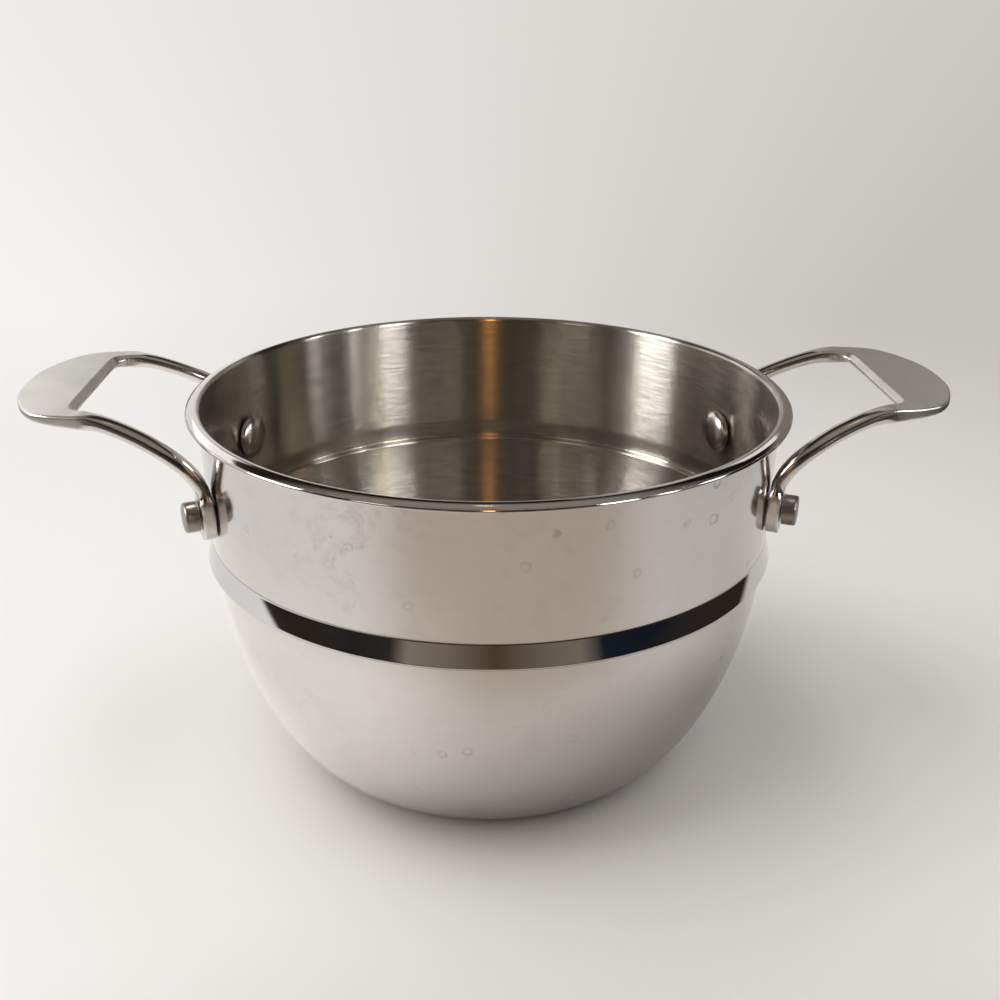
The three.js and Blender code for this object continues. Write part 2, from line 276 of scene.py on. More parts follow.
def sheet_steel(name, tint, roughness, spread, line_mm, line_depth, line_shade, handled):
    """Stainless sheet. Lines run round the axis and break off after some 9 mm. They are line_mm apart,
    coarser than the real ones so that they show, line_depth millimetres deep, and darker by the share
    line_shade. Handling leaves smudges 12 mm across, most of them at the front left, dried drops 3 mm across
    with a darker rim, and level scuffs 14 mm long. Spread is how far gloss is drawn out across the lines, and
    handled is how much of the handling shows."""
    steel, tree, shader, place = bare_steel(name)
    along = add(tree, "ShaderNodeAttribute", attribute_name="along").outputs["Fac"]
    rank = add(tree, "ShaderNodeMath", {0: along, 1: 1000 / line_mm}, operation="MULTIPLY").outputs[0]
    rank = add(tree, "ShaderNodeCombineXYZ", {"Z": rank}).outputs[0]
    lines = add(tree, "ShaderNodeVectorMath", {0: place, 1: (110, 110, 0), 2: rank},
                operation="MULTIPLY_ADD").outputs[0]
    lines = add(tree, "ShaderNodeTexNoise", {"Vector": lines, "Scale": 1.0, "Detail": 2.0,
                                             "Roughness": 0.5}).outputs["Fac"]
    held = add(tree, "ShaderNodeVectorMath", {0: place, 1: (-0.045, -0.089, 0.118)}, operation="DISTANCE")
    held = add(tree, "ShaderNodeMapRange", {0: held.outputs["Value"], 1: 0.008, 2: 0.032, 3: 1.1, 4: 0.3},
               interpolation_type="SMOOTHSTEP").outputs[0]
    smudge = add(tree, "ShaderNodeTexNoise", {"Vector": place, "Scale": 85.0, "Detail": 5.0,
                                              "Roughness": 0.65, "Distortion": 0.8}).outputs["Fac"]
    smudge = add(tree, "ShaderNodeMapRange", {0: smudge, 1: 0.46, 2: 0.78},
                 interpolation_type="SMOOTHSTEP").outputs[0]
    smudge = add(tree, "ShaderNodeMath", {0: smudge, 1: held}, operation="MULTIPLY").outputs[0]
    ragged = add(tree, "ShaderNodeTexNoise", {"Vector": place, "Scale": 300.0,
                                              "Detail": 2.0}).outputs["Color"]
    ragged = add(tree, "ShaderNodeVectorMath", {0: ragged, 1: (0.0022, 0.0022, 0.0022), 2: place},
                 operation="MULTIPLY_ADD").outputs[0]
    drops = add(tree, "ShaderNodeTexVoronoi", {"Vector": ragged, "Scale": 120.0})
    ring = add(tree, "ShaderNodeMapRange", {0: drops.outputs["Distance"], 1: 0.1, 2: 0.19}).outputs[0]
    ring_end = add(tree, "ShaderNodeMapRange", {0: drops.outputs["Distance"], 1: 0.19, 2: 0.26, 3: 1.0,
                                                4: 0.0}).outputs[0]
    pick = add(tree, "ShaderNodeSeparateColor", {0: drops.outputs["Color"]}).outputs[0]
    pick = add(tree, "ShaderNodeMapRange", {0: pick, 1: 0.78, 2: 1.0}).outputs[0]
    ring = add(tree, "ShaderNodeMath", {0: ring, 1: ring_end}, operation="MULTIPLY").outputs[0]
    ring = add(tree, "ShaderNodeMath", {0: ring, 1: pick}, operation="MULTIPLY").outputs[0]
    level = add(tree, "ShaderNodeMath", {0: along, 1: 2200.0}, operation="MULTIPLY").outputs[0]
    level = add(tree, "ShaderNodeCombineXYZ", {"Z": level}).outputs[0]
    scuff = add(tree, "ShaderNodeVectorMath", {0: place, 1: (70, 70, 0), 2: level},
                operation="MULTIPLY_ADD").outputs[0]
    scuff = add(tree, "ShaderNodeTexNoise", {"Vector": scuff, "Scale": 1.0, "Detail": 2.0}).outputs["Fac"]
    scuff = add(tree, "ShaderNodeMapRange", {0: scuff, 1: 0.6, 2: 0.75}).outputs[0]
    marks = add(tree, "ShaderNodeMath", {0: scuff, 1: 0.12, 2: smudge}, operation="MULTIPLY_ADD").outputs[0]
    marks = add(tree, "ShaderNodeMath", {0: marks, 1: ring}, operation="ADD").outputs[0]
    dull = add(tree, "ShaderNodeMath", {0: marks, 1: 0.5 * handled, 2: roughness},
               operation="MULTIPLY_ADD").outputs[0]
    dull = add(tree, "ShaderNodeMath", {0: lines, 1: 0.03, 2: dull}, operation="MULTIPLY_ADD").outputs[0]
    tree.links.new(dull, shader.inputs["Roughness"])
    stain = add(tree, "ShaderNodeMath", {0: marks, 1: handled}, operation="MULTIPLY",
                use_clamp=True).outputs[0]
    pale = np.array(linear(tint))
    stained = pale * (0.6, 0.55, 0.48, 1)
    colour = add(tree, "ShaderNodeMix", {0: stain, 6: pale, 7: stained}, data_type="RGBA").outputs[2]
    shade = add(tree, "ShaderNodeMapRange", {0: lines, 1: 0.3, 2: 0.7, 3: 1 - line_shade, 4: 1.0}).outputs[0]
    colour = add(tree, "ShaderNodeVectorMath", {0: colour, "Scale": shade}, operation="SCALE").outputs[0]
    tree.links.new(colour, shader.inputs["Base Color"])
    relief = add(tree, "ShaderNodeBump", {"Height": lines, "Distance": mm * line_depth}).outputs[0]
    tree.links.new(relief, shader.inputs["Normal"])
    shader.inputs["Anisotropic"].default_value = spread
    shader.inputs["Anisotropic Rotation"].default_value = 0.25
    round_axis = add(tree, "ShaderNodeTangent", direction_type="RADIAL", axis="Z").outputs[0]
    tree.links.new(round_axis, shader.inputs["Tangent"])
    return steel


# Polished steel shows the table almost as a mirror does, a little blurred and clouded by handling.
polished_steel = sheet_steel("polished_stainless_steel", shell_tint, roughness=0.11, spread=0.4, line_mm=0.9,
                             line_depth=0.0006, line_shade=0.03, handled=0.4)
# Buffed to a mirror: the room stands in it sharp and dark.
mirror_steel = sheet_steel("mirror_buffed_stainless_steel", band_tint, roughness=0.02, spread=0.0,
                           line_mm=0.9, line_depth=0.0, line_shade=0.0, handled=0.06)
# Painted shade: a fine dark line along both folds of the band, for the shade in the creases,
# sets it off from the bowl and the wall.
fold_shade_steel = sheet_steel("fold_painted_shade_steel", fold_shade_tint, roughness=0.2, spread=0.0,
                         line_mm=0.9, line_depth=0.0, line_shade=0.0, handled=0.0)
# The lip's flange is polished: dark where it looks into the room, with a thin bright line along its edge.
lip_steel = sheet_steel("polished_stainless_steel_lip", lip_tint, roughness=0.07, spread=0.3, line_mm=0.7,
                        line_depth=0.001, line_shade=0.0, handled=0.1)
# Brushed round the inside: each lamp is drawn out to an upright streak, crossed by the level brush lines.
brushed_steel = sheet_steel("brushed_stainless_steel", inside_tint, roughness=0.23, spread=1.0, line_mm=1.15,
                            line_depth=0.05, line_shade=0.2, handled=0.03)

section, section_along, section_finish = shell_section()
wall_points = turned(section, turns)
wall_faces = grid_faces(len(section), turns)
shell_points = [wall_points.reshape(-1, 3)]
shell_faces = [wall_faces]
shell_kinds = [np.repeat(np.minimum(section_finish[:-1], section_finish[1:]), turns)]
shell_along = [np.repeat(section_along, turns)]
first_free = len(section) * turns
for ring in range(hole_rings + 1):
    cells = perforated_cells(ring)
    count, rows, columns = cells.shape[:3]
    squares = grid_faces(rows, columns)
    starts = first_free + np.arange(count) * rows * columns
    shell_points.append(cells.reshape(-1, 3))
    shell_faces.append((squares[None] + starts[:, None, None]).reshape(-1, 4))
    upper = np.arange(rows - 1) < (rows - 1) / 2
    shell_kinds.append(np.tile(np.repeat(np.where(upper, brushed, polished), columns), count))
    shell_along.append(np.linalg.norm(cells[..., :2], axis=-1).reshape(-1))
    first_free += count * rows * columns
shell_finishes = [polished_steel, mirror_steel, lip_steel, brushed_steel, fold_shade_steel]
shell = make_piece("shell_sheet", np.concatenate(shell_points), np.concatenate(shell_faces),
                   np.concatenate(shell_kinds), shell_finishes, np.concatenate(shell_along))
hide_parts("basket_shell")

# Handles
# Each is one stainless casting: a flat grip with a crisp inner edge, two legs that arch down to the wall,
# and a tab at the end of each leg for its rivet. The legs are polished, and the grip is brushed to a satin.
rivet_angle = np.radians(22.3)
rivet_height = band_top + 15.8
fit = 0.3
foot_thickness = 4.3
foot_half_width = 6.0
foot_below = 8.5
foot_edge = 0.9
foot_steps = 16
handle_steps = 260
grip_top = lip_start + lip_bend + sheet + 4.0
handle_tint = "#dedad4"


def wall_at(height):
    """The wall's outside radius at a height: it leans out evenly from the band to the lip."""
    return wall_radius + wall_flare * (height - band_top) / wall_height


def smooth_line(keys, count):
    """A smooth line through keys, whose first three columns are places: a cubic between each two, with slopes
    taken from the neighbours, sampled evenly by length. The other columns are carried along it."""
    gaps = np.linalg.norm(np.diff(keys[:, :3], axis=0), axis=1)
    at = np.concatenate([[0], np.cumsum(gaps)])
    slope = np.empty_like(keys)
    slope[1:-1] = (keys[2:] - keys[:-2]) / (at[2:] - at[:-2])[:, None]
    slope[0] = (keys[1] - keys[0]) / gaps[0]
    slope[-1] = (keys[-1] - keys[-2]) / gaps[-1]
    want = np.linspace(0, at[-1], count)
    i = np.clip(np.searchsorted(at, want, side="right") - 1, 0, len(keys) - 2)
    gap = gaps[i][:, None]
    t = ((want - at[i]) / gaps[i])[:, None]
    rise = t * t * (3 - 2 * t)
    return ((1 - rise) * keys[i] + rise * keys[i + 1]
            + gap * t * (1 - t) * ((1 - t) * slope[i] - t * slope[i + 1]))


def handle_stations():
    """Half a handle, from a foot's lower end to the middle of the grip. Each station holds its middle, its
    half width as a vector from the middle to the outer side, its half thickness, the width and depth of its
    inner bevel, how far its underside thins outwards, its five corners' radii and its share of an oval.
    With v the share of the way from the rivet down to the tab's end, the tab's width falls as
    (1 - v^2.4)^(1/2.1)."""
    out = np.array([np.cos(rivet_angle), np.sin(rivet_angle), 0])
    aside = np.array([-np.sin(rivet_angle), np.cos(rivet_angle), 0])
    half = foot_thickness / 2
    below = foot_below * np.cos(np.linspace(0.02, np.pi / 2, foot_steps))
    width = foot_half_width * (1 - (below / foot_below) ** 2.4) ** (1 / 2.1)
    near_end = np.clip(foot_below - below, 0, foot_edge)
    thick = half - foot_edge + np.sqrt(foot_edge**2 - (foot_edge - near_end) ** 2)
    height = rivet_height - below
    middle = out * (wall_at(height) + fit + half)[:, None] + height[:, None] * np.array([0, 0, 1])
    tab_corners = np.tile([0.3, 0.3, 1.0, 0.5, 0.3, 0.3, 0.9, 0.9, 0], (foot_steps, 1))
    tab = np.concatenate([middle, width[:, None] * aside, thick[:, None], tab_corners], axis=1)
    leg_corners = [0.9, 0.8, 1.0, 1.2, 0.7, 0.7, 1.9, 1.9]
    # Middle, way to the outer side, half width, half thickness, share of an oval
    leg = [
        [95.03, 38.98, 110.6, -0.379, 0.925, 5.95, 2.15, 0.0],
        [95.08, 39.0, 112.6, -0.379, 0.925, 5.8, 2.18, 0.1],
        [95.11, 39.01, 113.4, -0.379, 0.925, 5.55, 2.22, 0.3],
        [95.16, 39.02, 114.1, -0.379, 0.925, 5.2, 2.3, 0.55],
        [95.26, 39.06, 114.9, -0.375, 0.927, 4.85, 2.4, 0.75],
        [95.68, 39.26, 116.6, -0.36, 0.933, 4.35, 2.5, 0.85],
        [97.25, 39.87, 120.2, -0.28, 0.96, 3.9, 2.55, 0.85],
        [100.36, 40.29, 124.4, -0.15, 0.99, 3.7, 2.5, 0.85],
        [105.73, 39.69, 128.7, 0.05, 1.0, 3.55, 2.45, 0.85],
        [112.8, 38.0, 132.65, 0.18, 0.98, 3.5, 2.4, 0.85],
        [121.0, 36.45, 136.2, 0.16, 0.987, 3.5, 2.4, 0.8],
        [127.0, 35.5, 138.1, 0.13, 0.99, 3.55, 2.4, 0.55],
    ]
    leg = np.array([[x, y, z, wx * w, wy * w, 0, h] + leg_corners + [k] for x, y, z, wx, wy, w, h, k in leg])
    # Inner edge, outer edge, half thickness, width and depth of the bevel, thinning of the underside
    rails = [
        [131.6, 31.1, 132.6, 38.3, 2.35, 1.1, 1.0, 0.95],
        [134.2, 30.2, 137.5, 37.8, 2.15, 1.4, 1.2, 0.85],
        [135.9, 28.9, 143.0, 36.9, 1.95, 1.6, 1.5, 0.7],
        [136.8, 26.8, 148.6, 34.2, 1.8, 1.7, 1.7, 0.55],
        [137.05, 23.5, 152.9, 29.2, 1.7, 1.7, 1.8, 0.45],
        [137.05, 18.5, 156.3, 22.3, 1.65, 1.7, 1.8, 0.4],
        [137.05, 12.4, 158.9, 14.6, 1.6, 1.7, 1.8, 0.4],
        [137.05, 6.2, 160.15, 7.2, 1.6, 1.7, 1.8, 0.4],
        [137.05, 0.0, 160.42, 0.0, 1.6, 1.7, 1.8, 0.4],
    ]
    grip_corners = [1.0, 0.3, 0.4, 0.9, 0.8]
    grip = np.array([[(a + c) / 2, (b + d) / 2, grip_top - h, (c - a) / 2, (d - b) / 2, 0, h, bevel, drop]
                     + [thin] + grip_corners + [0] for a, b, c, d, h, bevel, drop, thin in rails])
    return smooth_line(np.concatenate([tab, leg, grip]), handle_steps)


def handle_surface():
    """One handle on +X: a five-cornered section, with its corners rounded and then drawn in towards an oval
    on the legs, carried along the stations. Its thickness is square to the path and to the width. The other
    half is the same, mirrored, and each foot's end is a point."""
    station = handle_stations()
    middle, across, half = station[:, :3], station[:, 3:6], station[:, 6]
    bevel, drop, thin, radii = station[:, 7], station[:, 8], station[:, 9], station[:, 10:15]
    oval_share = np.clip(station[:, 15], 0, 1)[:, None, None]
    width = np.maximum(np.linalg.norm(across, axis=1), 0.02)
    onward = np.gradient(middle, axis=0)
    up = np.cross(onward, across)
    up /= np.linalg.norm(up, axis=1, keepdims=True)
    bevel = np.minimum(bevel, 0.6 * width)
    corners = np.stack([
        np.stack([width, half], -1),
        np.stack([bevel - width, half], -1),
        np.stack([-width, half - drop], -1),
        np.stack([-width, -half], -1),
        np.stack([width, -half * thin], -1)], axis=1)
    sides = np.linalg.norm(corners - np.roll(corners, -1, axis=1), axis=2)
    room = 0.36 * np.minimum(sides, np.roll(sides, 1, axis=1))
    line = rounded(corners, np.minimum(radii, room)).reshape(len(station), 5, -1, 2)
    t = np.array([0.25, 0.5, 0.75])[:, None]
    flats = line[:, :, -1:] * (1 - t) + np.roll(line[:, :, :1], -1, axis=1) * t
    line = np.concatenate([line, flats], axis=2).reshape(len(station), -1, 2)
    oval = line / np.linalg.norm(line / np.stack([width, half], -1)[:, None], axis=-1, keepdims=True)
    line = line + (oval - line) * oval_share
    side = across / width[:, None]
    points = middle[:, None] + line[..., :1] * side[:, None] + line[..., 1:] * up[:, None]
    end = np.repeat(points[:1].mean(1, keepdims=True), points.shape[1], axis=1)
    points = np.concatenate([end, points])
    return np.concatenate([points, points[-2::-1] * [1, -1, 1]])


def cast_steel(name, tint):
    """Polished casting whose grip is satin: past some 132 mm out it is brushed along the grip, with scratches
    0.5 mm apart and 17 mm long. The legs keep faint ripples some 12 mm long from the polishing wheel, and the
    tabs, up to a height of 113 mm, are a little duller. Faint smudges are 17 mm across."""
    steel, tree, shader, place = bare_steel(name)
    axes = add(tree, "ShaderNodeSeparateXYZ", {0: place})
    x = add(tree, "ShaderNodeMath", {0: axes.outputs[0]}, operation="ABSOLUTE").outputs[0]
    tab = add(tree, "ShaderNodeMapRange", {0: axes.outputs[2], 1: 0.1132, 2: 0.1142, 3: 1.0,
                                           4: 0.0}).outputs[0]
    grip = add(tree, "ShaderNodeMapRange", {0: x, 1: 0.127, 2: 0.137},
               interpolation_type="SMOOTHSTEP").outputs[0]
    scratch = add(tree, "ShaderNodeVectorMath", {0: place, 1: (2000, 60, 2000)},
                  operation="MULTIPLY").outputs[0]
    scratch = add(tree, "ShaderNodeTexNoise", {"Vector": scratch, "Scale": 1.0, "Detail": 3.0}).outputs["Fac"]
    ripple = add(tree, "ShaderNodeTexNoise", {"Vector": place, "Scale": 85.0, "Detail": 2.0}).outputs["Fac"]
    smudge = add(tree, "ShaderNodeTexNoise", {"Vector": place, "Scale": 60.0, "Detail": 5.0}).outputs["Fac"]
    dull = add(tree, "ShaderNodeMath", {0: grip, 1: 0.18, 2: 0.09}, operation="MULTIPLY_ADD").outputs[0]
    dull = add(tree, "ShaderNodeMath", {0: tab, 1: 0.16, 2: dull}, operation="MULTIPLY_ADD").outputs[0]
    dull = add(tree, "ShaderNodeMath", {0: smudge, 1: 0.12, 2: dull}, operation="MULTIPLY_ADD").outputs[0]
    tree.links.new(dull, shader.inputs["Roughness"])
    pale = np.array(linear(tint))
    deep = pale * (0.7, 0.7, 0.7, 1)
    colour = add(tree, "ShaderNodeMix", {0: smudge, 6: pale, 7: deep}, data_type="RGBA").outputs[2]
    tree.links.new(colour, shader.inputs["Base Color"])
    height = add(tree, "ShaderNodeMix", {0: grip, 2: ripple, 3: scratch}, data_type="FLOAT").outputs[0]
    relief = add(tree, "ShaderNodeBump", {"Height": height, "Distance": 0.02 * mm}).outputs[0]
    tree.links.new(relief, shader.inputs["Normal"])
    return steel


# Cast steel: polished legs throw back the room in dark and bright stripes, and the satin grip glows evenly.
handle_steel = cast_steel("cast_stainless_steel", handle_tint)
handle_points = handle_surface()
rows, columns = handle_points.shape[:2]
for name, turn in (("right_handle", 1), ("left_handle", -1)):
    placed = (handle_points * [turn, turn, 1]).reshape(-1, 3)
    faces = grid_faces(rows, columns)
    handle = make_piece(name + "_casting", placed, faces, np.zeros(len(faces)), [handle_steel])
    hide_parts(name)

# Rivets
# Four turned stainless rivets hold the feet: a polished domed head inside the wall, a shank through the wall
# and the foot, and a plain satin button outside, its edge eased.
shank_radius = 2.6
head_radius = 8.0
head_height = 3.6
head_edge = 0.6
button_radius = 5.1
button_length = 4.9
dome_steps = 22
rivet_turns = 64
rivet_tint = "#b5ada5"
button_tint = "#9a928a"


def rivet_surface():
    """A rivet along +X: a section of distance from the basket's axis and radius, turned about the rivet's own
    axis. The head is a quarter of an ellipse with an upright edge. The button's face is slightly domed."""
    seat = np.sqrt((wall_at(rivet_height - head_radius) - sheet) ** 2 - head_radius**2) - fit
    under = wall_at(rivet_height + button_radius) + fit + foot_thickness + fit
    end = under + button_length
    turn = np.linspace(0, np.pi / 2, dome_steps)
    dome_height = head_height - head_edge
    dome = np.stack([seat - head_edge - dome_height * np.cos(turn), head_radius * np.sin(turn)], -1)
    body = np.array([[seat - head_edge, head_radius], [seat, head_radius], [seat, shank_radius],
                     [under, shank_radius], [under, button_radius], [end - 0.2, button_radius],
                     [end - 0.12, 2.0]])
    body = rounded(body, np.array([0, 0.2, 0.1, 0.1, 0.35, 0.9, 0]))[corner_points:-corner_points]
    face = np.array([[end - 0.03, 1.8], [end - 0.01, 1.0], [end, 0.0]])
    line = np.concatenate([dome, body, face])
    spun = turned(line[:, ::-1], rivet_turns)
    return spun[..., [2, 0, 1]]


def turned_steel(name, tint, satin_tint):
    """Turned steel: the head, less than 101 mm from the axis, is polished, and the button is satin. Both
    carry a little grime in patches some 2.4 mm across."""
    steel, tree, shader, place = bare_steel(name)
    flat = add(tree, "ShaderNodeVectorMath", {0: place, 1: (1, 1, 0)}, operation="MULTIPLY").outputs[0]
    reach = add(tree, "ShaderNodeVectorMath", {0: flat}, operation="LENGTH").outputs["Value"]
    button = add(tree, "ShaderNodeMapRange", {0: reach, 1: 0.1, 2: 0.102}).outputs[0]
    grime = add(tree, "ShaderNodeTexNoise", {"Vector": place, "Scale": 420.0, "Detail": 4.0}).outputs["Fac"]
    dull = add(tree, "ShaderNodeMath", {0: button, 1: 0.14, 2: 0.18}, operation="MULTIPLY_ADD").outputs[0]
    dull = add(tree, "ShaderNodeMath", {0: grime, 1: 0.12, 2: dull}, operation="MULTIPLY_ADD").outputs[0]
    tree.links.new(dull, shader.inputs["Roughness"])
    pale = add(tree, "ShaderNodeMix", {0: button, 6: linear(tint), 7: linear(satin_tint)},
               data_type="RGBA").outputs[2]
    grimy = add(tree, "ShaderNodeMapRange", {0: grime, 1: 0.3, 2: 0.7, 3: 1.0, 4: 0.75}).outputs[0]
    colour = add(tree, "ShaderNodeVectorMath", {0: pale, "Scale": grimy}, operation="SCALE").outputs[0]
    tree.links.new(colour, shader.inputs["Base Color"])
    relief = add(tree, "ShaderNodeBump", {"Height": grime, "Distance": 0.01 * mm}).outputs[0]
    tree.links.new(relief, shader.inputs["Normal"])
    return steel


# Turned steel: the dome gathers the room to one small highlight in a dark ring, and the button stays grey.
rivet_steel = turned_steel("turned_stainless_steel", rivet_tint, button_tint)
rivet_points = rivet_surface()
rows, columns = rivet_points.shape[:2]
for name, turn in (("right_back_rivet", rivet_angle), ("right_front_rivet", -rivet_angle),
                   ("left_front_rivet", np.pi + rivet_angle), ("left_back_rivet", np.pi - rivet_angle)):
    x, y, z = rivet_points[..., 0], rivet_points[..., 1], rivet_points[..., 2]
    placed = np.stack([x * np.cos(turn) - y * np.sin(turn), x * np.sin(turn) + y * np.cos(turn),
                       z + rivet_height], -1)
    faces = grid_faces(rows, columns)
    rivet = make_piece(name + "_turned", placed.reshape(-1, 3), faces, np.zeros(len(faces)), [rivet_steel])
    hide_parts(name)

# Stage
# A table of matt white paper that ends in a dim room, with lamps that light the paper and lamps that only
# show in the steel. The paper carries painted light, lighter at the left, and painted shade, darker at the
# right and in front. The steel sees it with painted shade, warmer in front and darker under the bowl, and
# with painted light, brighter at the left, and past the paper's edge it sees the room.
paper_painted_light_left = "#f1efed"
paper_painted_shade_right = "#ebe8e5"
paper_front_painted_shade = "#d0cecb"
paper_front_mirrored_painted_shade = "#cfc2b4"
past_paper = "#302a26"
backdrop_painted_light_left = "#f6f4f2"
backdrop_painted_shade_right = "#c6c2bd"
walls_behind = "#d8d4cf"
ceiling_left = "#231d13"
ceiling_right = "#15110b"
ceiling_middle = "#928d85"
low_glow = "#3a3938"
high_glow = "#d6d5d4"


def backdrop_colour(tree, x):
    """The backdrop by the sideways part of a direction, with painted light: pale at the left, where the
    window's light falls, greyer at the right.
    """
    side = add(tree, "ShaderNodeMapRange", {0: x, 1: -0.5, 2: 0.5}).outputs[0]
    return add(tree, "ShaderNodeMix", {0: side, 6: linear(backdrop_painted_light_left), 7: linear(backdrop_painted_shade_right)},
               data_type="RGBA").outputs[2]


def room_walls(tree, x, y, front_glow):
    """The room's walls by azimuth, in degrees from the front towards the right: pale at the left and behind,
    dark at both sides of the front, with a warmer, lighter middle, dark at the right and grey at the back
    right. Front glow is the share of the front's light."""
    front = add(tree, "ShaderNodeMath", {0: y, 1: -1.0}, operation="MULTIPLY").outputs[0]
    turn = add(tree, "ShaderNodeMath", {0: x, 1: front}, operation="ARCTAN2").outputs[0]
    turn = add(tree, "ShaderNodeMapRange", {0: turn, 1: -np.pi, 2: np.pi}).outputs[0]
    walls = add(tree, "ShaderNodeValToRGB", {0: turn})
    walls.color_ramp.elements[0].color = linear(walls_behind)
    walls.color_ramp.elements[1].color = linear(walls_behind)
    for azimuth, colour in ((-165, "#fdfbf9"), (-95, "#f2eee8"), (-84, "#403d3a"), (-50, "#2a2826"),
                            (-36, "#33302d"), (-30, "#94867a"), (-18, "#86786b"), (0, "#5b4737"),
                            (20, "#7d7264"), (30, "#857a6c"), (38, "#1d222b"), (60, "#181c28"),
                            (84, "#2d2e33"), (112, "#0e0e0f"), (126, "#8b857d"), (158, "#857f78")):
        glow = front_glow if abs(azimuth) < 50 else 1.0
        stop = walls.color_ramp.elements.new((azimuth + 180) / 360)
        stop.color = np.array(linear(colour)) * (glow, glow, glow, 1)
    return walls.outputs[0]


table = bpy.data.meshes.new("table")
table.from_pydata([(-30, -30, 0), (30, -30, 0), (30, 30, 0), (-30, 30, 0)], [], [(0, 1, 2, 3)])
table = bpy.data.objects.new("table", table)
scene.collection.objects.link(table)
# Matt white paper: pale, and it keeps the basket's soft shadow; its colour carries painted light and shade.
paper = bpy.data.materials.new("matt_white_paper")
paper.use_nodes = True
tree = paper.node_tree
shader = tree.nodes["Principled BSDF"]
shader.inputs["Roughness"].default_value = 0.9
shader.inputs["Specular IOR Level"].default_value = 0.2
shader.inputs["Emission Color"].default_value = linear("#ffffff")
place = add(tree, "ShaderNodeTexCoord").outputs["Object"]
spot = add(tree, "ShaderNodeSeparateXYZ", {0: place})
reach = add(tree, "ShaderNodeVectorMath", {0: place}, operation="LENGTH").outputs["Value"]
ray = add(tree, "ShaderNodeLightPath")
mirrored = ray.outputs["Is Glossy Ray"]
# Painted light: the paper is painted lighter at the left, where the window's light falls, and darker at the
# right, where it falls off.
side = add(tree, "ShaderNodeMapRange", {0: spot.outputs[0], 1: -0.22, 2: 0.25},
           interpolation_type="SMOOTHSTEP").outputs[0]
colour = add(tree, "ShaderNodeMix", {0: side, 6: linear(paper_painted_light_left), 7: linear(paper_painted_shade_right)},
             data_type="RGBA").outputs[2]
# Painted shadow: in front of the basket the paper is painted darker, as the shade that falls on the table's
# front, and warmer where the steel mirrors it.
front = add(tree, "ShaderNodeVectorMath", {0: place, 1: (0.03, -0.42, 0)}, operation="DISTANCE")
front = add(tree, "ShaderNodeMapRange", {0: front.outputs["Value"], 1: 0.2, 2: 0.34, 3: 1.0, 4: 0.0},
            interpolation_type="SMOOTHSTEP").outputs[0]
shaded = add(tree, "ShaderNodeMix", {0: mirrored, 6: linear(paper_front_painted_shade), 7: linear(paper_front_mirrored_painted_shade)},
             data_type="RGBA").outputs[2]
colour = add(tree, "ShaderNodeMix", {0: front, 6: colour, 7: shaded}, data_type="RGBA").outputs[2]
# Painted shadow: only where the steel mirrors it, the paper is painted darker near the base and more so to
# the right front, as the shadow under the bowl.
under = add(tree, "ShaderNodeVectorMath", {0: place, 1: (0.06, -0.03, 0)}, operation="DISTANCE")
under = add(tree, "ShaderNodeMapRange", {0: under.outputs["Value"], 1: 0.05, 2: 0.115, 3: 0.25,
                                         4: 0.0}).outputs[0]
under = add(tree, "ShaderNodeMath", {0: under, 1: mirrored}, operation="MULTIPLY").outputs[0]
colour = add(tree, "ShaderNodeMix", {0: under, 6: colour, 7: linear("#000000")}, data_type="RGBA").outputs[2]
tree.links.new(colour, shader.inputs["Base Color"])
# Painted light: only where the steel mirrors it, the paper at the left near the basket glows white, as if it
# lay in stronger window light.
bright = add(tree, "ShaderNodeMapRange", {0: spot.outputs[0], 1: 0.0, 2: -0.1, 3: 0.0, 4: 0.22},
             interpolation_type="SMOOTHSTEP").outputs[0]
bright_end = add(tree, "ShaderNodeMapRange", {0: reach, 1: 0.18, 2: 0.28, 3: 1.0, 4: 0.0}).outputs[0]
bright = add(tree, "ShaderNodeMath", {0: bright, 1: bright_end}, operation="MULTIPLY").outputs[0]
bright = add(tree, "ShaderNodeMath", {0: bright, 1: mirrored}, operation="MULTIPLY").outputs[0]
tree.links.new(bright, shader.inputs["Emission Strength"])
# Far out the camera sees the backdrop, so that the paper runs into it without a line.
way = add(tree, "ShaderNodeVectorMath", {0: place}, operation="NORMALIZE").outputs[0]
way = add(tree, "ShaderNodeSeparateXYZ", {0: way}).outputs[0]
backdrop = add(tree, "ShaderNodeEmission", {0: backdrop_colour(tree, way)}).outputs[0]
far = add(tree, "ShaderNodeMapRange", {0: reach, 1: 0.2, 2: 0.8}, interpolation_type="SMOOTHSTEP").outputs[0]
far = add(tree, "ShaderNodeMath", {0: far, 1: ray.outputs["Is Camera Ray"]}, operation="MULTIPLY").outputs[0]
seen = add(tree, "ShaderNodeMixShader", {0: far, 1: shader.outputs[0], 2: backdrop}).outputs[0]
# Past the paper's edge the steel sees the dim room.
off_middle = add(tree, "ShaderNodeVectorMath", {0: place, 1: (-0.07, 0, 0)}, operation="DISTANCE")
off_middle = off_middle.outputs["Value"]
past_edge = add(tree, "ShaderNodeMapRange", {0: off_middle, 1: 0.43, 2: 0.46},
                interpolation_type="SMOOTHSTEP").outputs[0]
past_edge = add(tree, "ShaderNodeMath", {0: past_edge, 1: mirrored}, operation="MULTIPLY").outputs[0]
far_walls = add(tree, "ShaderNodeMapRange", {0: off_middle, 1: 0.6, 2: 0.85},
                interpolation_type="SMOOTHSTEP").outputs[0]
walls = room_walls(tree, spot.outputs[0], spot.outputs[1], 1.0)
dark = add(tree, "ShaderNodeMix", {0: far_walls, 6: linear(past_paper), 7: walls}, data_type="RGBA")
dark = add(tree, "ShaderNodeEmission", {0: dark.outputs[2]}).outputs[0]
table_look = add(tree, "ShaderNodeMixShader", {0: past_edge, 1: seen, 2: dark}).outputs[0]
tree.links.new(table_look, tree.nodes["Material Output"].inputs["Surface"])
table.data.materials.append(paper)

